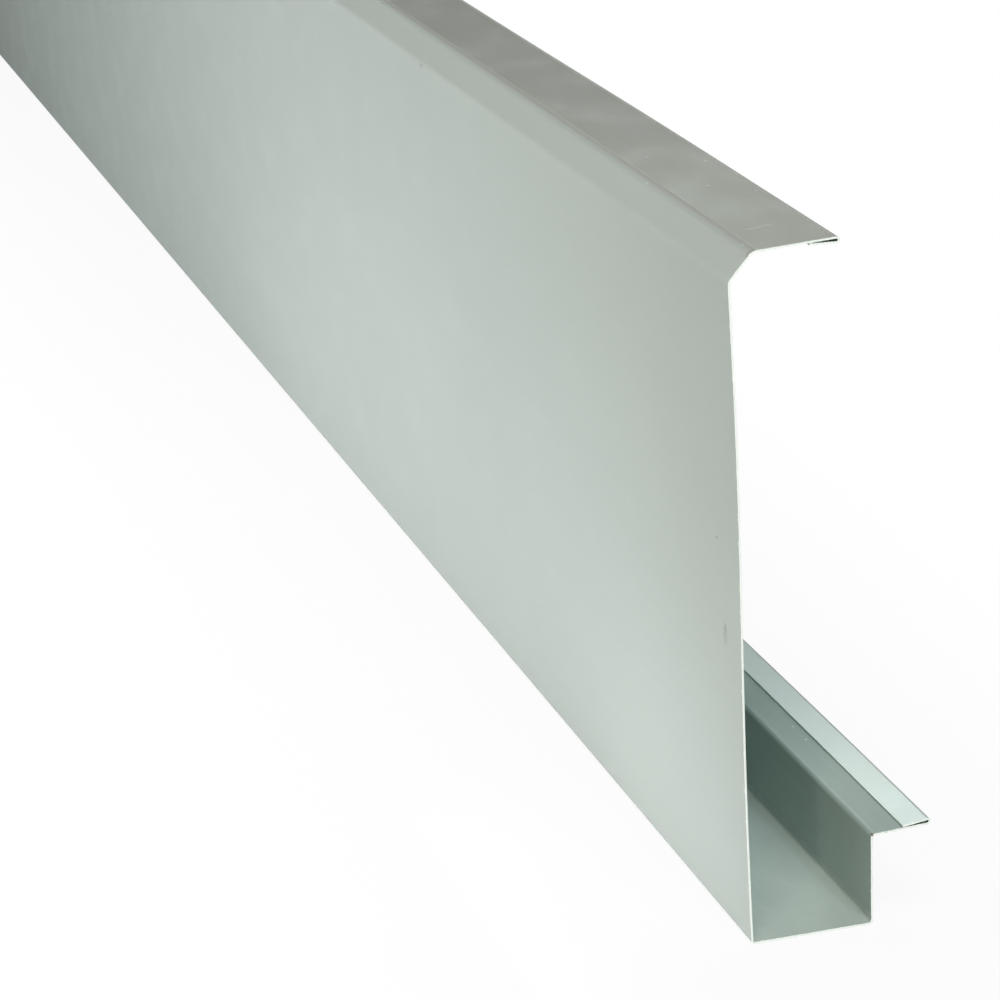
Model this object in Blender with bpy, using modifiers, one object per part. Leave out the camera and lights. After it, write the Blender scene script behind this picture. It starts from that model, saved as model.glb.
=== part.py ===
"""Drip edge: one length of painted sheet steel, folded lengthwise on a brake.

The section has a tall face that leans out a little at its head, where a short kick turns back
into a narrow top flange. Its foot is a channel: a level bottom, an upstand and a back flange.
Both long edges end in a hem. The top hem is folded under its flange and the back hem over its
flange, so the sheet's raw edges never meet the weather.

X runs along the length, Y from the face towards the back, and Z is up. The origin is the centre
of the footprint, on the level that the bottom stands on.
"""

import math

import bmesh
import bpy
from mathutils import Vector

# Stock, in metres
LENGTH = 2.0
SHEET = 0.00075

# Width of each leg of the section, measured over the outside of its corners
TOP_HEM = 0.011
TOP_FLANGE = 0.032
KICK = 0.0135
FACE = 0.250
BOTTOM = 0.0475
UPSTAND = 0.036
BACK_FLANGE = 0.0235
BACK_HEM = 0.011

# How far the legs lie off the level or the upright, in degrees
TOP_FLANGE_RISE = 3.5
KICK_LEAN = 42.0
FACE_LEAN = 1.1
BACK_FLANGE_RISE = 2.0

# Inside radii of the bends, and the slit that each hem keeps at its fold and at its raw edge
CORNER_RADIUS = 0.001
KICK_RADIUS = 0.0035
HEM_LOOP = 0.001
HEM_MOUTH = 0.00015

# Largest turn between two neighbouring facets of a bend
FACET_TURN = math.radians(10.0)

PAINT_COLOUR = (0.55, 0.60, 0.57, 1.0)
PAINT_ROUGHNESS = 0.35
PAINT_METALLIC = 0.0


class Profile:
    """A line in the YZ plane, walked leg by leg and bend by bend along the sheet's weather side."""

    def __init__(self, heading):
        self.heading = heading
        self.points = [Vector((0.0, 0.0))]

    def forward(self, distance):
        direction = Vector((math.cos(self.heading), math.sin(self.heading)))
        self.points.append(self.points[-1] + direction * distance)

    def turn(self, angle, radius):
        """Follow an arc, to the left where the angle is positive."""
        left = Vector((-math.sin(self.heading), math.cos(self.heading)))
        centre = self.points[-1] + left * math.copysign(radius, angle)
        spoke = self.points[-1] - centre
        facets = math.ceil(abs(angle) / FACET_TURN)
        for facet in range(1, facets + 1):
            part_turn = angle * facet / facets
            cosine, sine = math.cos(part_turn), math.sin(part_turn)
            turned = Vector((spoke.x * cosine - spoke.y * sine, spoke.x * sine + spoke.y * cosine))
            self.points.append(centre + turned)
        self.heading += angle


def setback(turn, inside_radius):
    """Return what a bend takes off the straight of each leg, from the legs' outside corner."""
    return (inside_radius + SHEET) * math.tan(abs(turn) / 2)


def hem_pinch(hem_width):
    """Return how far past half a turn a hem is folded, so that its raw edge nearly closes."""
    leaf = hem_width - hem_setback()
    return math.asin((HEM_LOOP - HEM_MOUTH) / leaf)


def hem_setback():
    """Return what a hem's fold takes off each of its legs, from the outside of the fold."""
    return HEM_LOOP / 2 + SHEET


def weather_side():
    """Return the section's points along the painted weather side, from raw edge to raw edge."""
    level = math.radians(360.0)
    upright = math.radians(90.0)
    half_turn = math.radians(180.0)

    # Headings, counted as they build up along the walk: 180 is forward, 270 down, 360 back, 450 up
    top_flange = half_turn + math.radians(TOP_FLANGE_RISE)
    kick = level - upright - math.radians(KICK_LEAN)
    face = level - upright + math.radians(FACE_LEAN)
    upstand = level + upright
    back_flange = level + math.radians(BACK_FLANGE_RISE)

    crown_turn = kick - top_flange
    brow_turn = face - kick
    toe_turn = level - face
    heel_turn = upstand - level
    shoulder_turn = back_flange - upstand

    crown = setback(crown_turn, KICK_RADIUS)
    brow = setback(brow_turn, KICK_RADIUS)
    toe = setback(toe_turn, CORNER_RADIUS)
    heel = setback(heel_turn, CORNER_RADIUS)
    shoulder = setback(shoulder_turn, CORNER_RADIUS)
    hem = hem_setback()

    top_fold = half_turn + hem_pinch(TOP_HEM)
    back_fold = half_turn + hem_pinch(BACK_HEM)

    profile = Profile(top_flange - top_fold)
    profile.forward(TOP_HEM - hem)
    profile.turn(top_fold, HEM_LOOP / 2 + SHEET)
    profile.forward(TOP_FLANGE - hem - crown)
    profile.turn(crown_turn, KICK_RADIUS + SHEET)
    profile.forward(KICK - crown - brow)
    profile.turn(brow_turn, KICK_RADIUS + SHEET)
    profile.forward(FACE - brow - toe)
    profile.turn(toe_turn, CORNER_RADIUS + SHEET)
    profile.forward(BOTTOM - toe - heel)
    profile.turn(heel_turn, CORNER_RADIUS + SHEET)
    profile.forward(UPSTAND - heel - shoulder)
    profile.turn(shoulder_turn, CORNER_RADIUS)
    profile.forward(BACK_FLANGE - shoulder - hem)
    profile.turn(back_fold, HEM_LOOP / 2 + SHEET)
    profile.forward(BACK_HEM - hem)
    return profile.points


def centred(points):
    """Move the section so that it stands on level zero, with its width centred on Y."""
    middle = (min(point.x for point in points) + max(point.x for point in points)) / 2
    floor = min(point.y for point in points)
    return [point - Vector((middle, floor)) for point in points]


def folded_sheet(name, points, material):
    """Draw the section at one end, extrude it to the other and give it the sheet's thickness."""
    mesh = bpy.data.meshes.new(name)
    surface = bmesh.new()
    end = [surface.verts.new((-LENGTH / 2, point.x, point.y)) for point in points]
    edges = [surface.edges.new(pair) for pair in zip(end, end[1:])]
    extruded = bmesh.ops.extrude_edge_only(surface, edges=edges)["geom"]
    far_end = [item for item in extruded if isinstance(item, bmesh.types.BMVert)]
    bmesh.ops.translate(surface, verts=far_end, vec=(LENGTH, 0.0, 0.0))
    surface.to_mesh(mesh)
    surface.free()
    mesh.materials.append(material)

    # The extruded surface is the weather side and its faces point to the back of the sheet
    sheet = bpy.data.objects.new(name, mesh)
    thickness = sheet.modifiers.new("sheet thickness", "SOLIDIFY")
    thickness.thickness = SHEET
    thickness.offset = 1.0
    thickness.use_even_offset = True
    thickness.use_quality_normals = True
    return sheet


def paint_material(name):
    material = bpy.data.materials.new(name)
    material.use_nodes = True
    shader = material.node_tree.nodes["Principled BSDF"]
    shader.inputs["Base Color"].default_value = PAINT_COLOUR
    shader.inputs["Roughness"].default_value = PAINT_ROUGHNESS
    shader.inputs["Metallic"].default_value = PAINT_METALLIC
    return material


def main():
    for old in list(bpy.data.objects):
        bpy.data.objects.remove(old, do_unlink=True)

    collection = bpy.data.collections.new("drip_edge")
    bpy.context.scene.collection.children.link(collection)
    paint = paint_material("painted_steel")
    collection.objects.link(folded_sheet("drip_edge", centred(weather_side()), paint))


main()
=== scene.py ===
"""Drip edge: the folded sheet as it looks, and the plain studio that it stands in.

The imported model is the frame. One finely folded sheet replaces its solid: the same section, with
smoother bends and the slight waves that real sheet has. The paint, the backing coat of the hidden
side and the bare cut edge are three finishes. All lengths are in metres.
"""

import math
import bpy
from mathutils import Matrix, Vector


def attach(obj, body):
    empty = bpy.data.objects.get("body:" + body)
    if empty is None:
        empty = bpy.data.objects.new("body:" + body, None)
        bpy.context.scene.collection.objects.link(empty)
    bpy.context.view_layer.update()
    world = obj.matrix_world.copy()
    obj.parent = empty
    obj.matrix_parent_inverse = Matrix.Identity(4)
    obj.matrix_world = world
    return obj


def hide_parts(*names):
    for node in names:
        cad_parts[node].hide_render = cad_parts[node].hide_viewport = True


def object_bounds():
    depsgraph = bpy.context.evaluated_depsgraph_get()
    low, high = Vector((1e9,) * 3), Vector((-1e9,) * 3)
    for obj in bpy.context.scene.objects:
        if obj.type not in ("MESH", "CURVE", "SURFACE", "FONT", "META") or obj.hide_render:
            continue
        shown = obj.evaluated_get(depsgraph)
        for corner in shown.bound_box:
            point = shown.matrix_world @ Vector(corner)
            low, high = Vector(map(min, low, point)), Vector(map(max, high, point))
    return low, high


bl_info = {
    "name": "Drip Edge",
    "version": (1, 0, 0),
    "blender": (4, 5, 0),
    "location": "3D View > Sidebar > Drip Edge",
    "description": "Folds a painted sheet steel drip edge and sets it in a plain studio",
    "category": "Add Mesh",
}

import bmesh
import bpy
from mathutils import Matrix, Vector

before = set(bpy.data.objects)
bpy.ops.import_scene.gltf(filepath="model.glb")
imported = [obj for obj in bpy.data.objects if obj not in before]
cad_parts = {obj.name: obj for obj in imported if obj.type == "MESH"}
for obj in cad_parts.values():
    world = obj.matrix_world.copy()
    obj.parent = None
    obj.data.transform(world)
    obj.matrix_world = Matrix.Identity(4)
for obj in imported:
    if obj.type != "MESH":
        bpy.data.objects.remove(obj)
CAD_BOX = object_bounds()

CAD_NODE = "drip_edge"

# The mesh: the largest turn of a bend's facet, the flat margin beside each bend, the steps of the
# tall face and of the other legs, the cuts along the length, and the angle of a sharp edge
BEND_FACET = math.radians(6.0)
BEND_MARGIN = 0.0006
FACE_STEPS = 24
LEG_STEPS = 4
LENGTH_CUTS = 159
CREASE_ANGLE = math.radians(35.0)

# Long waves of the sheet, each as two wavelengths and a phase, and how far the curl of a cut end
# reaches into the face
FACE_WAVES = (0.71, 0.43, 0.9)
TOP_WAVES = (0.83, 0.37, 2.3)
BACK_WAVES = (0.59, 0.41, 4.0)
CURL_REACH = 0.15

# Material slots after the paint's, which is the first
BACKING, CUT_EDGE = 1, 2

# Depth of the fine relief in each finish
PAINT_RELIEF = 0.000004
BACKING_RELIEF = 0.000005
CUT_RELIEF = 0.00002

# The upward part of a normal over which the weather side comes to count as level, and the heights
# between which the painted sheen of the back hem, at the foot, gives way to the painted shade of
# the top flange, at the head
LEVEL_FROM, LEVEL_TO = 0.8, 0.99
FOOT_TO, HEAD_FROM = 0.1, 0.2

# A bend counts as the crown's from these heights up, and is duller than its flats and darkened
# by painted shade
CROWN_FROM, CROWN_TO = 0.2540, 0.2565
CROWN_PAINTED_SHADE = (0.87, 0.87, 0.87)
CROWN_DULL = 0.4

# The backing coat's specular level, how strongly and how softly the coating lifts at the cut ends,
# and the share of its radius over which a speck fades out
BACKING_SPECULAR = 0.1
LIFTED_STRENGTH = 0.8
LIFTED_FADE = 0.0001
SPECK_FADE = 0.25

# The stage: half the floor's side, how far it lies under the trim, its roughness, the distances
# from the trim between which its shadow gives way to white, and the camera's film and near limit
FLOOR_HALF = 8.0
FLOOR_DROP = 0.0002
FLOOR_ROUGHNESS = 0.9
SHADE_NEAR, SHADE_FAR = 0.04, 0.23
WHITE = (1.0, 1.0, 1.0)
SENSOR_WIDTH = 36.0
CLIP_START = 0.01

# The lamps: what most of them are aimed at, and their tints
LAMP_AIM = Vector((0.4, 0.0, 0.1))
WARM = (1.0, 0.86, 0.74)
DAYLIGHT = (0.84, 0.95, 1.0)
MINT = (0.85, 1.0, 0.98)
CLEAR = (0.96, 0.99, 1.0)


def length_size(name, description, default):
    return bpy.props.FloatProperty(
        name=name, description=description, default=default, min=0.0, precision=5, unit="LENGTH"
    )


def angle_size(name, description, degrees):
    return bpy.props.FloatProperty(
        name=name, description=description, default=math.radians(degrees), subtype="ANGLE"
    )


def colour_setting(name, description, default):
    return bpy.props.FloatVectorProperty(
        name=name, description=description, default=default, size=3, min=0.0, max=1.0,
        subtype="COLOR",
    )


def share_setting(name, description, default):
    return bpy.props.FloatProperty(
        name=name, description=description, default=default, min=0.0, max=1.0, subtype="FACTOR"
    )


class SheetSizes(bpy.types.PropertyGroup):
    """Sizes of the folded sheet. Each leg is measured over the outside of its corners."""

    length: length_size("Length", "Length of the trim", (CAD_BOX[1] - CAD_BOX[0]).x)
    sheet: length_size("Sheet", "Thickness of the painted sheet", 0.00075)
    top_hem: length_size("Top hem", "Hem folded under the top flange", 0.011)
    top_flange: length_size("Top flange", "Flange at the head of the trim", 0.032)
    kick: length_size("Kick", "Short slope between the top flange and the face", 0.0135)
    face: length_size("Face", "Tall front", 0.250)
    bottom: length_size("Bottom", "Level bottom of the foot channel", 0.0475)
    upstand: length_size("Upstand", "Upright at the back of the foot channel", 0.036)
    back_flange: length_size("Back flange", "Flange at the head of the upstand", 0.0235)
    back_hem: length_size("Back hem", "Hem folded over the back flange", 0.011)
    top_rise: angle_size("Top flange rise", "How far the top flange lies off the level", 3.5)
    kick_lean: angle_size("Kick lean", "How far the kick leans off the upright", 42.0)
    face_lean: angle_size("Face lean", "How far the face leans out at its head", 1.1)
    back_rise: angle_size("Back flange rise", "How far the back flange lies off the level", 2.0)
    corner: length_size("Corner radius", "Inside radius of the foot's bends", 0.001)
    kick_bend: length_size("Kick radius", "Inside radius of the kick's two bends", 0.0035)
    hem_loop: length_size("Hem loop", "Slit that a hem keeps at its fold", 0.001)
    hem_mouth: length_size("Hem mouth", "Slit that a hem keeps at its raw edge", 0.00015)
    face_curl: length_size("Face curl", "How far the face's cut end curls in and out", 0.00058)
    face_hollow: length_size("Face hollow", "How far the face's cut end is dished", 0.00027)
    face_wave: length_size("Face wave", "Height of the long waves in the face", 0.00035)
    flange_wave: length_size("Flange wave", "Height of the long waves in the flanges", 0.0004)


class Finishes(bpy.types.PropertyGroup):
    """Colours and roughness of the paint, of the backing coat and of the cut edge."""

    paint: colour_setting("Paint", "Satin paint of the weather side", (0.515, 0.562, 0.528))
    paint_roughness: share_setting("Paint roughness", "Roughness of the weather paint", 0.20)
    backing: colour_setting("Backing coat", "Thin coat of the hidden side", (0.400, 0.490, 0.455))
    backing_roughness: share_setting("Backing roughness", "Roughness of the backing coat", 0.20)
    zinc: colour_setting("Cut edge", "Bare zinc and steel of the sheared edge", (0.86, 0.90, 0.84))
    zinc_roughness: share_setting("Cut edge roughness", "Roughness of the sheared edge", 0.40)
    zinc_metal: share_setting("Cut edge metal", "How metallic the sheared edge looks", 0.15)
    # Painted shade that darkens the top flange
    top_flange_painted_shade: colour_setting("Top tone", "Painted shade on the top flange", (0.89, 0.825, 0.795))
    # Painted sheen that lightens the top of the back hem
    pale: colour_setting("Painted hem sheen", "Paler paint of the back hem as a painted sheen", (0.80, 0.90, 0.87))
    dust: colour_setting("Dust", "Pale dust that has settled", (0.59, 0.66, 0.61))
    grime: colour_setting("Grime", "Dark scuffs and specks", (0.14, 0.15, 0.14))
    stain: colour_setting("Stain", "Brown smears on the paint", (0.26, 0.19, 0.12))
    rust: colour_setting("Rust", "Rust of the nicked edge", (0.17, 0.06, 0.03))


class StageSettings(bpy.types.PropertyGroup):
    """The floor, the lamps and the camera."""

    floor: colour_setting("Floor", "Plain pale floor", (0.80, 0.80, 0.80))
    floor_white: share_setting("Floor white", "How white the camera sees the floor close by", 0.93)
    floor_glow: share_setting("Floor glow", "How bright gloss sees the floor", 0.15)
    sky_glow: share_setting("Sky glow", "How bright gloss sees the backdrop", 0.09)
    fill: share_setting("Fill", "Strength of the even fill light", 0.012)
    level: bpy.props.FloatProperty(
        name="Lamp level", description="Strength of all the lamps together", default=1.0, min=0.0
    )
    lens: bpy.props.FloatProperty(
        name="Lens", description="Focal length of the camera", default=127.7, min=1.0, unit="CAMERA"
    )
    camera_place: bpy.props.FloatVectorProperty(
        name="Camera place", description="Where the camera stands",
        default=(2.0955, -0.4348, 0.5765), size=3, subtype="TRANSLATION", unit="LENGTH",
    )
    camera_turn: bpy.props.FloatVectorProperty(
        name="Camera turn", description="Where the camera looks",
        default=[math.radians(angle) for angle in (70.9336, 2.1612, 73.2669)],
        size=3, subtype="EULER",
    )


# The folded sheet


class SectionWire:
    """A wire in the YZ plane, walked leg by leg and bend by bend along the weather side."""

    def __init__(self, mesh, heading):
        self.mesh = mesh
        self.heading = heading
        self.tip = mesh.verts.new((0.0, 0.0, 0.0))
        self.start = self.tip

    def run(self, distance, steps):
        direction = Vector((0.0, math.cos(self.heading), math.sin(self.heading)))
        for _ in range(steps):
            grown = bmesh.ops.extrude_vert_indiv(self.mesh, verts=[self.tip])
            bmesh.ops.translate(self.mesh, verts=grown["verts"], vec=direction * distance / steps)
            self.tip = grown["verts"][0]

    def leg(self, distance, steps=LEG_STEPS):
        """Walk straight on, with a cut close to each end where the smoothing of its bend stops."""
        self.run(BEND_MARGIN, 1)
        self.run(distance - 2 * BEND_MARGIN, steps)
        self.run(BEND_MARGIN, 1)

    def turn(self, angle, radius):
        """Follow an arc, to the left where the angle is positive."""
        left = Vector((0.0, -math.sin(self.heading), math.cos(self.heading)))
        spun = bmesh.ops.spin(
            self.mesh,
            geom=[self.tip],
            cent=self.tip.co + left * math.copysign(radius, angle),
            axis=(1.0, 0.0, 0.0),
            angle=angle,
            steps=math.ceil(abs(angle) / BEND_FACET),
            space=Matrix.Identity(4),
            use_merge=False,
            use_duplicate=False,
        )
        self.tip = next(v for v in spun["geom_last"] if isinstance(v, bmesh.types.BMVert))
        self.heading += angle


def bend_setback(size, turn, inside_radius):
    """Return what a bend takes off the straight of each leg, from the legs' outside corner."""
    return (inside_radius + size.sheet) * math.tan(abs(turn) / 2)


def fold_section(mesh, size):
    """Walk the whole section from the top hem's raw edge to the back hem's."""
    # Headings count up along the walk: forward, down, back along the bottom, and up
    forward, down, bottom, upstand = (math.radians(turn) for turn in (180.0, 270.0, 360.0, 450.0))
    top_flange = forward + size.top_rise
    kick = down - size.kick_lean
    face = down + size.face_lean
    back_flange = bottom + size.back_rise

    hem = size.hem_loop / 2 + size.sheet
    crown = bend_setback(size, kick - top_flange, size.kick_bend)
    brow = bend_setback(size, face - kick, size.kick_bend)
    toe = bend_setback(size, bottom - face, size.corner)
    heel = bend_setback(size, upstand - bottom, size.corner)
    shoulder = bend_setback(size, back_flange - upstand, size.corner)

    # A hem turns a little past half a turn, so that its raw edge nearly closes
    pinch = size.hem_loop - size.hem_mouth
    top_fold = math.pi + math.asin(pinch / (size.top_hem - hem))
    back_fold = math.pi + math.asin(pinch / (size.back_hem - hem))

    wire = SectionWire(mesh, top_flange - top_fold)
    wire.leg(size.top_hem - hem)
    wire.turn(top_fold, hem)
    wire.leg(size.top_flange - hem - crown)
    wire.turn(kick - top_flange, size.kick_bend + size.sheet)
    wire.leg(size.kick - crown - brow)
    wire.turn(face - kick, size.kick_bend + size.sheet)
    wire.leg(size.face - brow - toe, FACE_STEPS)
    wire.turn(bottom - face, size.corner + size.sheet)
    wire.leg(size.bottom - toe - heel)
    wire.turn(upstand - bottom, size.corner + size.sheet)
    wire.leg(size.upstand - heel - shoulder)
    wire.turn(back_flange - upstand, size.corner)
    wire.leg(size.back_flange - shoulder - hem)
    wire.turn(back_fold, hem)
    wire.leg(size.back_hem - hem)
    return wire.start


def measure_strip(mesh, start):
    """Note on each vertex its distance across the flat strip, and whether it lies on a bend."""
    across = mesh.verts.layers.float["across"]
    bend = mesh.verts.layers.float["bend"]
    before, here, distance = None, start, 0.0
    while here:
        here[across] = distance
        onward = [edge.other_vert(here) for edge in here.link_edges]
        after = next((vert for vert in onward if vert is not before), None)
        if before and after:
            turn = (here.co - before.co).angle(after.co - here.co)
            here[bend] = 1.0 if turn > BEND_FACET / 4 else 0.0
        if after:
            distance += (after.co - here.co).length
        before, here = here, after


def stand_centred(mesh):
    """Move the section to the level that it stands on, with its width centred."""
    middle = (min(v.co.y for v in mesh.verts) + max(v.co.y for v in mesh.verts)) / 2
    foot = min(v.co.z for v in mesh.verts)
    bmesh.ops.translate(mesh, verts=mesh.verts, vec=(0.0, -middle, -foot))


def draw_out(mesh, length):
    """Extrude the section to the trim's length and cut it into short runs."""
    bmesh.ops.translate(mesh, verts=mesh.verts, vec=(-length / 2, 0.0, 0.0))
    grown = bmesh.ops.extrude_edge_only(mesh, edges=mesh.edges[:])["geom"]
    far_end = [item for item in grown if isinstance(item, bmesh.types.BMVert)]
    bmesh.ops.translate(mesh, verts=far_end, vec=(length, 0.0, 0.0))
    lengthwise = [e for e in mesh.edges if abs(e.verts[0].co.x - e.verts[1].co.x) > length / 2]
    bmesh.ops.subdivide_edges(mesh, edges=lengthwise, cuts=LENGTH_CUTS, use_grid_fill=True)


def long_wave(x, first, second, phase):
    """Return an uneven wave between about -1 and 1 along the length."""
    return 0.6 * math.sin(math.tau * x / first + phase) + 0.4 * math.sin(math.tau * x / second)


def relax_sheet(mesh, size):
    """Give the sheet the waves and the curl that folding and shearing leave in it."""
    brow_height = size.face * math.cos(size.face_lean)
    back_edge = max(v.co.y for v in mesh.verts)
    end = size.length / 2
    for vert in mesh.verts:
        x, y, z = vert.co
        up_face = z / brow_height
        if y < -size.bottom / 2 and 0.0 < up_face < 1.0:
            window = math.sin(math.pi * up_face)
            wave = size.face_wave * long_wave(x, *FACE_WAVES) * window
            close = math.exp(-(end - x) / CURL_REACH) + math.exp(-(end + x) / CURL_REACH)
            curl = size.face_hollow * window - size.face_curl * math.sin(math.tau * up_face)
            vert.co.y += wave + close * curl
        elif z > brow_height:
            reach = max(0.0, (y + size.top_flange) / size.top_flange)
            vert.co.z += size.flange_wave * long_wave(x, *TOP_WAVES) * min(reach, 1.0)
        elif z > size.upstand / 2:
            reach = max(0.0, y - back_edge + size.back_flange) / size.back_flange
            vert.co.z += size.flange_wave * long_wave(x, *BACK_WAVES) * min(reach, 1.0)


def fold_sheet(size, finishes):
    """Fold the section, draw it out and give it the sheet's thickness and its three finishes."""
    mesh = bmesh.new()
    mesh.verts.layers.float.new("across")
    mesh.verts.layers.float.new("bend")
    measure_strip(mesh, fold_section(mesh, size))
    stand_centred(mesh)
    draw_out(mesh, size.length)
    mesh.normal_update()
    front = min(mesh.faces, key=lambda face: face.calc_center_median().y)
    if front.normal.y > 0.0:
        bmesh.ops.reverse_faces(mesh, faces=mesh.faces[:])
    relax_sheet(mesh, size)
    data = bpy.data.meshes.new("folded_sheet")
    mesh.to_mesh(data)
    mesh.free()
    for finish in finishes:
        data.materials.append(finish)

    sheet = bpy.data.objects.new("folded_sheet", data)
    bpy.context.scene.collection.objects.link(sheet)
    thickness = sheet.modifiers.new("sheet thickness", "SOLIDIFY")
    thickness.thickness = size.sheet
    thickness.offset = -1.0
    thickness.use_even_offset = True
    thickness.use_quality_normals = True
    thickness.material_offset = BACKING
    thickness.material_offset_rim = CUT_EDGE
    return sheet


def settle_modifiers(piece):
    """Apply the modifiers, smooth the bends and keep the sheared edges sharp."""
    graph = bpy.context.evaluated_depsgraph_get()
    settled = bpy.data.meshes.new_from_object(piece.evaluated_get(graph), depsgraph=graph)
    piece.modifiers.clear()
    piece.data = settled
    settled.shade_smooth()
    settled.set_sharp_from_angle(angle=CREASE_ANGLE)


class DRIPEDGE_OT_fold_sheet(bpy.types.Operator):
    """Fold the painted sheet and put it in place of the plain solid"""

    bl_idname = "drip_edge.fold_sheet"
    bl_label = "Fold Sheet"

    def execute(self, context):
        size = context.scene.drip_edge_sizes
        finishes = make_finishes(context.scene.drip_edge_finishes, size)
        sheet = fold_sheet(size, finishes)
        settle_modifiers(sheet)
        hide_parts(CAD_NODE)
        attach(sheet, "root")
        return {"FINISHED"}


# The finishes


class NodeBoard:
    """Short ways to place the nodes of one material or group and wire them."""

    def __init__(self, tree):
        self.tree = tree

    def node(self, kind, inputs=None, **settings):
        """Place a node with its settings, and wire or set its inputs."""
        placed = self.tree.nodes.new(kind)
        placed.location = (60.0 * len(self.tree.nodes), 0.0)
        for name, value in settings.items():
            setattr(placed, name, value)
        for name, value in (inputs or {}).items():
            self.feed(placed.inputs[name], value)
        return placed

    def feed(self, socket, value):
        """Wire a socket where the value is another node's output, and set it otherwise."""
        if isinstance(value, bpy.types.NodeSocket):
            self.tree.links.new(value, socket)
        elif socket.type == "RGBA" and len(value) == 3:
            socket.default_value = (*value, 1.0)
        else:
            socket.default_value = value

    def maths(self, operation, first, second=0.0, clamp=False):
        """Reckon with one or two values and return the result."""
        return self.node(
            "ShaderNodeMath", {0: first, 1: second}, operation=operation, use_clamp=clamp
        ).outputs[0]

    def spread(self, value, low, high, to_low=0.0, to_high=1.0):
        """Map a value smoothly from one range to another, and hold it there."""
        limits = {"Value": value, "From Min": low, "From Max": high}
        limits |= {"To Min": to_low, "To Max": to_high}
        mapped = self.node("ShaderNodeMapRange", limits, interpolation_type="SMOOTHSTEP")
        return mapped.outputs["Result"]

    def tint(self, mask, colour, other, strength=1.0, blend="MIX"):
        """Lay another colour over a colour by a mask, at full strength or a part of it."""
        if strength != 1.0:
            mask = self.maths("MULTIPLY", mask, strength)
        # Sockets 6, 7 and 2 are the colours and the result of a mix that is set to colour
        mixed = {0: mask, 6: colour, 7: other}
        return self.node("ShaderNodeMix", mixed, data_type="RGBA", blend_type=blend).outputs[2]

    def object_point(self):
        """Return the point on the surface, in the trim's own frame."""
        return self.node("ShaderNodeTexCoord").outputs["Object"]

    def axes(self, vector):
        """Split a vector and return its X, Y and Z."""
        return self.node("ShaderNodeSeparateXYZ", {0: vector}).outputs

    def effect(self, group, **values):
        """Place a shared effect with its own values and return its one output."""
        placed = self.node("ShaderNodeGroup", node_tree=group)
        for name, value in values.items():
            self.feed(placed.inputs[name.replace("_", " ").capitalize()], value)
        return placed.outputs[0]


def start_group(name, inputs, output):
    """Make a node group with named inputs and one output, and return what fills it."""
    tree = bpy.data.node_groups.new(name, "ShaderNodeTree")
    for label, (kind, value) in inputs.items():
        socket = tree.interface.new_socket(label, in_out="INPUT", socket_type=kind)
        socket.default_value = value
    tree.interface.new_socket(output, in_out="OUTPUT", socket_type="NodeSocketFloat")
    board = NodeBoard(tree)
    return board, board.node("NodeGroupInput").outputs, board.node("NodeGroupOutput").inputs


def strip_noise_group():
    """A cloud, or lines along the trim, laid on the flat strip that the sheet was folded from."""
    board, given, result = start_group(
        "Strip Noise",
        {
            "Along": ("NodeSocketFloat", 20.0),
            "Across": ("NodeSocketFloat", 20.0),
            "Detail": ("NodeSocketFloat", 3.0),
            "Low": ("NodeSocketFloat", 0.35),
            "High": ("NodeSocketFloat", 0.65),
        },
        "Mask",
    )
    place = board.axes(board.object_point())
    strip = board.node("ShaderNodeAttribute", attribute_name="across")
    spot = board.node(
        "ShaderNodeCombineXYZ",
        {
            "X": board.maths("MULTIPLY", place["X"], given["Along"]),
            "Y": board.maths("MULTIPLY", strip.outputs["Fac"], given["Across"]),
        },
    )
    noise = board.node(
        "ShaderNodeTexNoise", {"Vector": spot.outputs[0], "Scale": 1.0, "Detail": given["Detail"]}
    )
    masked = board.spread(noise.outputs["Fac"], given["Low"], given["High"])
    board.feed(result[0], masked)
    return board.tree


def specks_group():
    """Sparse small specks of uneven size, strewn at random."""
    board, given, result = start_group(
        "Specks",
        {
            "Spacing": ("NodeSocketFloat", 0.01),
            "Radius": ("NodeSocketFloat", 0.0005),
            "Share": ("NodeSocketFloat", 0.3),
        },
        "Mask",
    )
    cells = board.node(
        "ShaderNodeTexVoronoi",
        {"Vector": board.object_point(), "Scale": board.maths("DIVIDE", 1.0, given["Spacing"])},
    )
    distance = board.maths("MULTIPLY", cells.outputs["Distance"], given["Spacing"])
    chance = board.node("ShaderNodeSeparateColor", {0: cells.outputs["Color"]})
    kept = board.maths("LESS_THAN", chance.outputs["Red"], given["Share"])
    radius = board.maths("MULTIPLY", given["Radius"], chance.outputs["Green"])
    edge = board.maths("SUBTRACT", radius, distance)
    soft = board.maths("MULTIPLY", given["Radius"], SPECK_FADE)
    inside = board.maths("DIVIDE", edge, soft, clamp=True)
    board.feed(result[0], board.maths("MULTIPLY", inside, kept))
    return board.tree


def mark_group():
    """One speck, stain, scuff or scratch at a place, with a soft and ragged outline."""
    board, given, result = start_group(
        "Mark",
        {
            "Place": ("NodeSocketVector", (0.0, 0.0, 0.0)),
            "Reach": ("NodeSocketVector", (0.001, 0.001, 0.001)),
            "Softness": ("NodeSocketFloat", 0.6),
            "Ragged": ("NodeSocketFloat", 0.0),
        },
        "Mask",
    )
    inside = board.node(
        "ShaderNodeMapping",
        {"Vector": board.object_point(), "Location": given["Place"], "Scale": given["Reach"]},
        vector_type="TEXTURE",
    )
    far = board.node("ShaderNodeVectorMath", {0: inside.outputs[0]}, operation="LENGTH")
    outline = board.maths("ADD", far.outputs["Value"], given["Ragged"])
    core = board.maths("SUBTRACT", 1.0, given["Softness"])
    board.feed(result[0], board.spread(outline, core, 1.0, 1.0, 0.0))
    return board.tree


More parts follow.
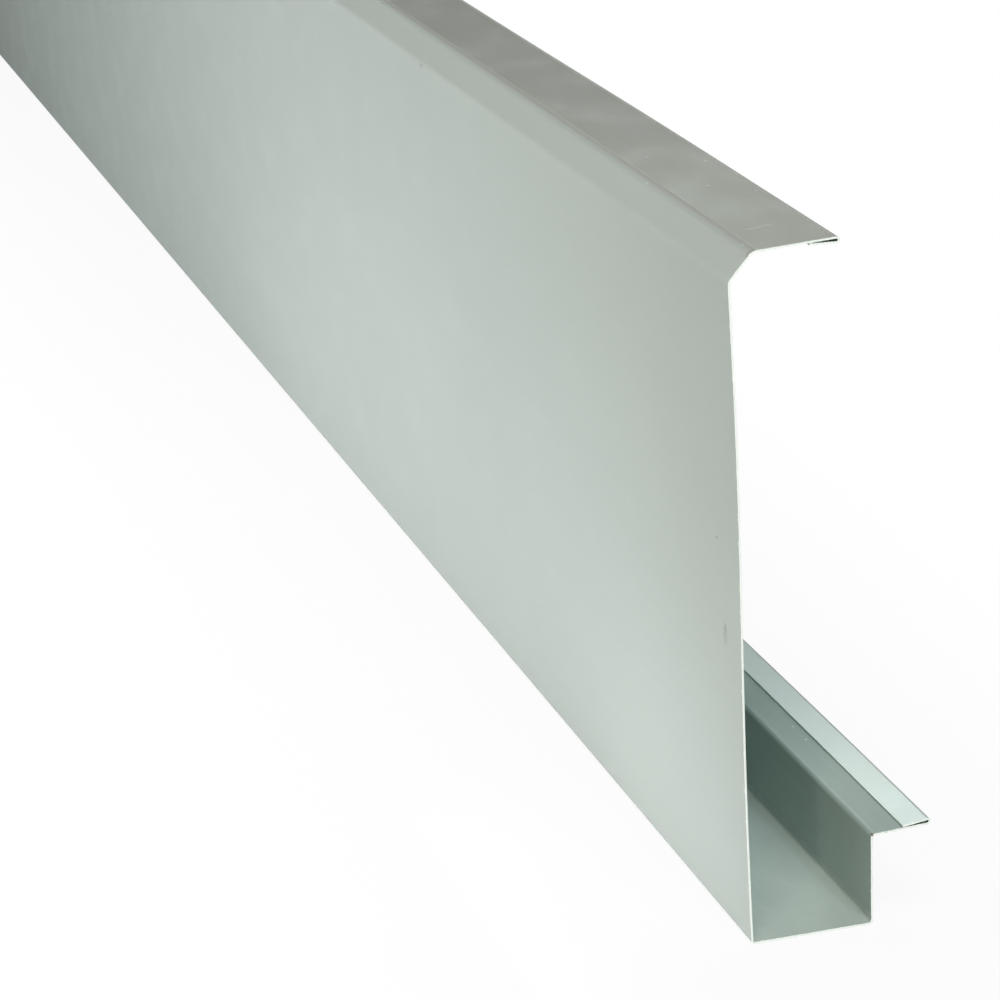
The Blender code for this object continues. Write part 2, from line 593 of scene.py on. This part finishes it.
def sheared_end_group(half_length):
    """A thin ragged band beside the two cut ends, where shearing has lifted the coating."""
    board, given, result = start_group(
        "Sheared End", {"Band": ("NodeSocketFloat", 0.0005)}, "Mask"
    )
    point = board.object_point()
    inward = board.maths("SUBTRACT", half_length, board.maths("ABSOLUTE", board.axes(point)["X"]))
    chips = board.node("ShaderNodeTexNoise", {"Vector": point, "Scale": 420.0, "Detail": 3.0})
    width = board.maths("MULTIPLY", given["Band"], board.spread(chips.outputs["Fac"], 0.48, 0.78))
    lifted = board.maths("SUBTRACT", width, inward)
    board.feed(result[0], board.maths("DIVIDE", lifted, LIFTED_FADE, clamp=True))
    return board.tree


class Effects:
    """The node groups that the finishes share."""

    def __init__(self, size):
        self.noise = strip_noise_group()
        self.specks = specks_group()
        self.mark = mark_group()
        self.sheared = sheared_end_group(size.length / 2)


def start_material(name):
    """Return a new material, what wires its nodes, and the inputs of its shader."""
    material = bpy.data.materials.new(name)
    material.use_nodes = True
    board = NodeBoard(material.node_tree)
    return material, board, material.node_tree.nodes["Principled BSDF"].inputs


def lay_marks(board, effects, colour, marks):
    """Lay marks over a colour. Each has its own colour, strength, place and reach."""
    frayed = board.node("ShaderNodeTexNoise", {"Vector": board.object_point(), "Scale": 900.0})
    ragged = board.maths("SUBTRACT", frayed.outputs["Fac"], 0.5)
    for stain, strength, place, reach in marks:
        mask = board.effect(effects.mark, place=place, reach=reach, ragged=ragged)
        colour = board.tint(mask, colour, stain, strength)
    return colour


def bare_ends(board, effects, colour, zinc, band):
    """Let zinc show in the band beside the cut ends where the coating is lifted."""
    lifted = board.effect(effects.sheared, band=band)
    return board.tint(lifted, colour, zinc, LIFTED_STRENGTH)


def raise_relief(board, shader, height, depth):
    """Turn a height into fine relief."""
    bump = board.node("ShaderNodeBump", {"Strength": 1.0, "Distance": depth, "Height": height})
    board.feed(shader["Normal"], bump.outputs["Normal"])


def shade(colour, factor):
    """Return a colour made lighter or darker."""
    return tuple(min(channel * factor, 1.0) for channel in colour)


def weather_paint(looks, effects):
    """Satin coil paint: nearly even, with faint roll lines, dust, stains and worn cut ends."""
    material, board, shader = start_material("weather_paint")
    cloud = board.effect(effects.noise, along=4.0, across=9.0, detail=3.0, low=0.3, high=0.7)
    lines = board.effect(effects.noise, along=3.0, across=420.0, detail=4.0, low=0.25, high=0.75)
    smudge = board.effect(effects.noise, along=26.0, across=38.0, detail=3.0, low=0.3, high=0.9)
    peel = board.effect(effects.noise, along=800.0, across=800.0, detail=1.0, low=0.1, high=0.9)
    specks = board.effect(effects.specks, spacing=0.011, radius=0.0006, share=0.35)

    # Masks for the painted shade on the top flange and the crown's fold, and for the painted
    # sheen on the back hem
    bend = board.node("ShaderNodeAttribute", attribute_name="bend").outputs["Fac"]
    facing = board.node("ShaderNodeNewGeometry").outputs["Normal"]
    upward = board.spread(board.axes(facing)["Z"], LEVEL_FROM, LEVEL_TO)
    height_up = board.axes(board.object_point())["Z"]
    head = board.spread(height_up, FOOT_TO, HEAD_FROM)
    foot = board.spread(height_up, FOOT_TO, HEAD_FROM, 1.0, 0.0)
    top_flange_shade_mask = board.maths("MULTIPLY", upward, head)
    back_hem_sheen_mask = board.maths("MULTIPLY", upward, foot)
    crown = board.maths("MULTIPLY", bend, board.spread(height_up, CROWN_FROM, CROWN_TO))

    colour = board.tint(cloud, shade(looks.paint, 0.985), shade(looks.paint, 1.015))
    colour = board.tint(lines, colour, shade(looks.paint, 0.92), 0.22)
    # Painted shade darkens the crown's fold
    colour = board.tint(crown, colour, CROWN_PAINTED_SHADE, blend="MULTIPLY")
    # Painted shade darkens the top flange
    colour = board.tint(top_flange_shade_mask, colour, looks.top_flange_painted_shade, blend="MULTIPLY")
    # A painted sheen lightens the top of the back hem
    colour = board.tint(back_hem_sheen_mask, colour, looks.pale, 0.2)
    film = board.maths("MULTIPLY", board.maths("MULTIPLY", smudge, upward), 0.05)
    colour = board.tint(film, colour, looks.dust)
    resting = board.maths("MULTIPLY", specks, board.spread(upward, 0.0, 1.0, 0.04, 0.35))
    colour = board.tint(resting, colour, shade(looks.dust, 1.35))
    colour = lay_marks(board, effects, colour, weather_marks(looks))
    colour = bare_ends(board, effects, colour, looks.zinc, band=0.0011)
    board.feed(shader["Base Color"], colour)

    satin = looks.paint_roughness
    roughness = board.spread(smudge, 0.0, 1.0, satin, satin + 0.05)
    for mask, dulling in ((lines, 0.015), (crown, CROWN_DULL), (film, 0.6)):
        roughness = board.maths("ADD", roughness, board.maths("MULTIPLY", mask, dulling))
    board.feed(shader["Roughness"], roughness)
    height = board.maths("ADD", peel, board.maths("MULTIPLY", lines, 0.5))
    height = board.maths("ADD", height, board.maths("MULTIPLY", specks, 6.0))
    raise_relief(board, shader, height, PAINT_RELIEF)
    return material


def weather_marks(looks):
    """Return the marks on the weather side, most of them near the cut end at +X."""
    pale = shade(looks.dust, 1.5)
    specks = (
        ((0.8794, -0.0017, 0.2616), 0.0008, 0.5),
        ((0.9122, -0.0126, 0.2610), 0.0007, 0.55),
        ((0.9287, -0.0001, 0.2617), 0.0008, 0.5),
        ((0.8597, -0.0179, 0.2606), 0.0007, 0.4),
        ((0.8949, -0.0300, 0.2599), 0.0007, 0.4),
        ((0.9826, -0.0002, 0.2617), 0.0006, 0.3),
        ((0.9902, -0.0283, 0.2603), 0.0006, 0.35),
        ((0.8918, -0.0292, 0.2591), 0.0008, 0.35),
    )
    pale_specks = [
        (pale, strength, place, (radius, radius, 0.002)) for place, radius, strength in specks
    ]
    return pale_specks + [
        # A dark speck and a scratch in two parts, on the top flange
        (looks.grime, 0.35, (0.9517, -0.0127, 0.2610), (0.0007, 0.0006, 0.002)),
        (pale, 0.32, (0.9742, -0.0188, 0.2607), (0.0007, 0.0040, 0.002)),
        (pale, 0.28, (0.9730, -0.0136, 0.2609), (0.0006, 0.0042, 0.002)),
        # Brown smears at the crown
        (looks.stain, 0.45, (0.9996, -0.0292, 0.2588), (0.0024, 0.0026, 0.0028)),
        (looks.stain, 0.3, (0.6100, -0.0372, 0.2490), (0.0030, 0.002, 0.0016)),
        # A dark spot and a scuff in two parts, on the face
        (looks.grime, 0.5, (0.9771, -0.0356, 0.1501), (0.0011, 0.002, 0.0009)),
        (looks.grime, 0.2, (0.9834, -0.0350, 0.1153), (0.0028, 0.002, 0.0060)),
        (looks.grime, 0.2, (0.9842, -0.0350, 0.1175), (0.0012, 0.002, 0.0024)),
    ]


def backing_coat(looks, effects):
    """The thin backing coat of the hidden side: duller, clouded, with dust in the channel."""
    material, board, shader = start_material("backing_coat")
    cloud = board.effect(effects.noise, along=16.0, across=24.0, detail=4.0, low=0.3, high=0.7)
    lines = board.effect(effects.noise, along=4.0, across=360.0, detail=4.0, low=0.25, high=0.75)
    smudge = board.effect(effects.noise, along=34.0, across=60.0, detail=3.0, low=0.3, high=0.85)
    grit = board.effect(effects.noise, along=900.0, across=900.0, detail=2.0, low=0.2, high=0.8)
    specks = board.effect(effects.specks, spacing=0.009, radius=0.0006, share=0.3)
    height_up = board.axes(board.object_point())["Z"]
    channel = board.spread(height_up, 0.001, 0.006, 1.0, 0.0)
    film = board.maths("MULTIPLY", board.spread(smudge, 0.0, 1.0, 0.7, 1.0), channel)

    colour = board.tint(cloud, shade(looks.backing, 0.96), shade(looks.backing, 1.035))
    colour = board.tint(lines, colour, shade(looks.backing, 0.88), 0.3)
    colour = board.tint(film, colour, shade(looks.dust, 1.1), 0.6)
    colour = board.tint(specks, colour, shade(looks.dust, 1.3), 0.4)
    colour = lay_marks(board, effects, colour, backing_marks(looks))
    colour = bare_ends(board, effects, colour, looks.zinc, band=0.0009)
    board.feed(shader["Base Color"], colour)

    dull = looks.backing_roughness
    roughness = board.spread(smudge, 0.0, 1.0, dull, dull + 0.08)
    roughness = board.maths("ADD", roughness, board.maths("MULTIPLY", film, 0.15))
    board.feed(shader["Roughness"], roughness)
    shader["Specular IOR Level"].default_value = BACKING_SPECULAR
    height = board.maths("ADD", grit, board.maths("MULTIPLY", lines, 0.6))
    raise_relief(board, shader, height, BACKING_RELIEF)
    return material


def backing_marks(looks):
    """Return the marks on the hidden side: two specks on the back flange, and its rusty nick."""
    pale = shade(looks.dust, 1.5)
    return [
        (pale, 0.6, (0.8965, 0.0239, 0.0363), (0.0007, 0.0007, 0.002)),
        (pale, 0.6, (0.9103, 0.0240, 0.0364), (0.0007, 0.0007, 0.002)),
        (looks.rust, 0.6, (0.9996, 0.0146, 0.0357), (0.0016, 0.0008, 0.001)),
    ]


def cut_edge(looks, effects):
    """The sheared edge: bright zinc drawn over the steel in streaks, with a little rust."""
    material, board, shader = start_material("cut_edge")
    point = board.object_point()
    streaks = board.effect(effects.noise, along=260.0, across=2600.0, detail=3.0, low=0.3, high=0.7)
    grain = board.node("ShaderNodeTexNoise", {"Vector": point, "Scale": 1900.0, "Detail": 2.0})
    patchy = board.node("ShaderNodeTexNoise", {"Vector": point, "Scale": 170.0, "Detail": 4.0})
    torn = board.spread(grain.outputs["Fac"], 0.55, 0.75, 0.0, 0.25)
    rusty = board.spread(patchy.outputs["Fac"], 0.64, 0.74)

    colour = board.tint(streaks, shade(looks.zinc, 0.94), shade(looks.zinc, 1.06))
    colour = board.tint(torn, colour, shade(looks.zinc, 0.6))
    colour = board.tint(rusty, colour, looks.rust, 0.35)
    colour = lay_marks(board, effects, colour, edge_marks(looks))
    board.feed(shader["Base Color"], colour)

    board.feed(shader["Metallic"], board.spread(rusty, 0.0, 1.0, looks.zinc_metal, 0.0))
    sheared = looks.zinc_roughness
    roughness = board.spread(streaks, 0.0, 1.0, sheared, sheared + 0.14)
    roughness = board.maths("ADD", roughness, board.maths("MULTIPLY", rusty, 0.3))
    board.feed(shader["Roughness"], roughness)
    height = board.maths("ADD", streaks, grain.outputs["Fac"])
    raise_relief(board, shader, height, CUT_RELIEF)
    return material


def edge_marks(looks):
    """Return the rusty nick and the dark specks on the cut end of the back flange."""
    return [
        (looks.rust, 0.8, (1.0, 0.0146, 0.0357), (0.001, 0.0008, 0.0008)),
        (looks.grime, 0.5, (1.0, 0.0176, 0.0362), (0.001, 0.0005, 0.0004)),
        (looks.grime, 0.5, (1.0, 0.0201, 0.0359), (0.001, 0.0005, 0.0004)),
        (looks.grime, 0.5, (1.0, 0.0222, 0.0364), (0.001, 0.0005, 0.0004)),
    ]


def make_finishes(looks, size):
    """Return the finishes in the order of the sheet's material slots."""
    effects = Effects(size)
    return [weather_paint(looks, effects), backing_coat(looks, effects), cut_edge(looks, effects)]


# The stage


def seen_plain(board, white_share, gloss_level):
    """Return how far a ray sees plain light instead of the surface, and how bright that light is.

    The camera and glass see the given share of white. Gloss sees only a dim, even light.
    """
    ray = board.node("ShaderNodeLightPath").outputs
    white = board.maths("MAXIMUM", ray["Is Camera Ray"], ray["Is Transmission Ray"])
    white = board.maths("MULTIPLY", white, white_share)
    dimmed = board.maths("MULTIPLY", ray["Is Glossy Ray"], 1.0 - gloss_level)
    share = board.maths("MAXIMUM", white, ray["Is Glossy Ray"])
    return share, board.maths("SUBTRACT", 1.0, dimmed)


def floor_material(stage, half_length):
    """A plain pale floor that the camera sees nearly white, with the trim's own soft shadow."""
    material, board, shader = start_material("pale_floor")
    board.feed(shader["Base Color"], stage.floor)
    shader["Roughness"].default_value = FLOOR_ROUGHNESS
    place = board.axes(board.object_point())
    beyond = board.maths("SUBTRACT", board.maths("ABSOLUTE", place["X"]), half_length)
    beyond = board.maths("MAXIMUM", beyond, 0.0)
    off = board.node("ShaderNodeCombineXYZ", {"X": beyond, "Y": place["Y"]})
    away = board.node("ShaderNodeVectorMath", {0: off.outputs[0]}, operation="LENGTH")
    distance = away.outputs["Value"]
    white_share = board.spread(distance, SHADE_NEAR, SHADE_FAR, stage.floor_white, 1.0)
    share, level = seen_plain(board, white_share, stage.floor_glow)
    white = board.node("ShaderNodeEmission", {"Color": WHITE, "Strength": level})
    nodes = material.node_tree.nodes
    surfaces = {0: share, 1: nodes["Principled BSDF"].outputs[0], 2: white.outputs[0]}
    mixed = board.node("ShaderNodeMixShader", surfaces)
    board.feed(nodes["Material Output"].inputs["Surface"], mixed.outputs[0])
    return material


def lay_floor(scene, stage, half_length):
    """Lay a wide floor just under the trim, clear of its bottom."""
    mesh = bmesh.new()
    bmesh.ops.create_grid(mesh, x_segments=1, y_segments=1, size=FLOOR_HALF)
    bmesh.ops.translate(mesh, verts=mesh.verts, vec=(0.0, 0.0, -FLOOR_DROP))
    data = bpy.data.meshes.new("floor")
    mesh.to_mesh(data)
    mesh.free()
    data.materials.append(floor_material(stage, half_length))
    floor = bpy.data.objects.new("floor", data)
    scene.collection.objects.link(floor)


def set_world(scene, stage):
    """A dim even fill, which the camera sees as white above the floor's far edge."""
    world = bpy.data.worlds.new("studio")
    scene.world = world
    world.use_nodes = True
    board = NodeBoard(world.node_tree)
    nodes = world.node_tree.nodes
    fill = nodes["Background"]
    board.feed(fill.inputs["Color"], shade(WHITE, stage.fill))
    share, level = seen_plain(board, 1.0, stage.sky_glow)
    white = board.node("ShaderNodeBackground", {"Color": WHITE, "Strength": level})
    surfaces = {0: share, 1: fill.outputs[0], 2: white.outputs[0]}
    mixed = board.node("ShaderNodeMixShader", surfaces)
    board.feed(nodes["World Output"].inputs["Surface"], mixed.outputs[0])


def stand_off(azimuth, elevation, distance):
    """Return the place at a bearing from +X, a height in degrees and a distance from the aim."""
    bearing, height = math.radians(azimuth), math.radians(elevation)
    away = Vector((
        math.cos(bearing) * math.cos(height),
        math.sin(bearing) * math.cos(height),
        math.sin(height),
    ))
    return LAMP_AIM + away * distance


# Place, aim, width and height, watts, tint, and whether gloss mirrors the lamp. It doesn't where
# that would show as a glint. The three strips lie low along the foot of the face.
LAMPS = {
    "open_end_lamp": (stand_off(5, 10, 2.5), LAMP_AIM, (0.18, 0.18), 4.0, DAYLIGHT, True),
    "high_end_lamp": (stand_off(0, 55, 2.5), LAMP_AIM, (0.8, 0.8), 18.6, DAYLIGHT, True),
    "high_front_lamp": (stand_off(-15, 55, 2.5), LAMP_AIM, (0.8, 0.8), 14.6, WARM, True),
    "corner_lamp": (stand_off(-33, 10, 2.5), LAMP_AIM, (0.12, 0.12), 4.4, WARM, False),
    "low_front_lamp": (stand_off(-90, 3, 1.2), LAMP_AIM, (0.6, 0.6), 11.5, CLEAR, False),
    "high_back_lamp": (stand_off(165, 38, 3.5), LAMP_AIM, (0.9, 0.9), 16.2, MINT, True),
    "rear_lamp": ((-0.9, 1.3, 0.6), (-0.5, 0.0, 0.12), (0.8, 0.8), 12.0, WHITE, False),
    "cut_edge_lamp": ((2.9, 0.04, 0.04), (1.0, 0.0, 0.04), (0.3, 0.05), 18.0, CLEAR, False),
    "far_strip": ((-0.3, -0.35, 0.03), (-0.3, 0.0, 0.03), (1.0, 0.06), 0.468, MINT, False),
    "near_strip": ((0.6, -0.25, 0.03), (0.6, 0.0, 0.03), (0.8, 0.06), 0.42, CLEAR, False),
    "end_strip": ((0.95, -0.12, 0.02), (0.95, 0.0, 0.02), (0.2, 0.03), 0.030, CLEAR, False),
}


def hang_lamps(scene, level):
    """Hang the soft lamps round the trim and turn each to what it lights."""
    for name, (place, aim, size, watts, tint, mirrored) in LAMPS.items():
        light = bpy.data.lights.new(name, "AREA")
        light.shape = "RECTANGLE"
        light.size, light.size_y = size
        light.energy = watts * level
        light.color = tint
        lamp = bpy.data.objects.new(name, light)
        lamp.location = place
        lamp.rotation_euler = (Vector(place) - Vector(aim)).to_track_quat("Z", "Y").to_euler()
        lamp.visible_camera = False
        lamp.visible_glossy = mirrored
        scene.collection.objects.link(lamp)


def place_camera(scene, stage):
    """Set up the camera and give the scene its view."""
    camera = bpy.data.cameras.new("camera")
    camera.lens = stage.lens
    camera.sensor_width = SENSOR_WIDTH
    camera.clip_start = CLIP_START
    view = bpy.data.objects.new("camera", camera)
    view.location = stage.camera_place
    view.rotation_euler = stage.camera_turn
    scene.collection.objects.link(view)
    scene.camera = view


class DRIPEDGE_OT_set_stage(bpy.types.Operator):
    """Set the floor, the lamps, the world and the camera"""

    bl_idname = "drip_edge.set_stage"
    bl_label = "Set Stage"

    def execute(self, context):
        scene = context.scene
        stage = scene.drip_edge_stage
        lay_floor(scene, stage, scene.drip_edge_sizes.length / 2)
        set_world(scene, stage)
        hang_lamps(scene, stage.level)
        place_camera(scene, stage)
        scene.view_settings.view_transform = "Standard"
        return {"FINISHED"}


class DRIPEDGE_PT_panel(bpy.types.Panel):
    """Sizes, finishes and stage of the drip edge"""

    bl_label = "Drip Edge"
    bl_idname = "DRIPEDGE_PT_panel"
    bl_space_type = "VIEW_3D"
    bl_region_type = "UI"
    bl_category = "Drip Edge"

    def draw(self, context):
        for group in ("drip_edge_sizes", "drip_edge_finishes", "drip_edge_stage"):
            settings = getattr(context.scene, group)
            box = self.layout.box()
            for name in settings.__annotations__:
                box.prop(settings, name)
        self.layout.operator(DRIPEDGE_OT_fold_sheet.bl_idname)
        self.layout.operator(DRIPEDGE_OT_set_stage.bl_idname)


CLASSES = (
    SheetSizes,
    Finishes,
    StageSettings,
    DRIPEDGE_OT_fold_sheet,
    DRIPEDGE_OT_set_stage,
    DRIPEDGE_PT_panel,
)


def register():
    for listed in CLASSES:
        bpy.utils.register_class(listed)
    bpy.types.Scene.drip_edge_sizes = bpy.props.PointerProperty(type=SheetSizes)
    bpy.types.Scene.drip_edge_finishes = bpy.props.PointerProperty(type=Finishes)
    bpy.types.Scene.drip_edge_stage = bpy.props.PointerProperty(type=StageSettings)


def unregister():
    del bpy.types.Scene.drip_edge_stage
    del bpy.types.Scene.drip_edge_finishes
    del bpy.types.Scene.drip_edge_sizes
    for listed in reversed(CLASSES):
        bpy.utils.unregister_class(listed)


def main():
    register()
    bpy.ops.drip_edge.fold_sheet()
    bpy.ops.drip_edge.set_stage()


if __name__ == "__main__":
    main()
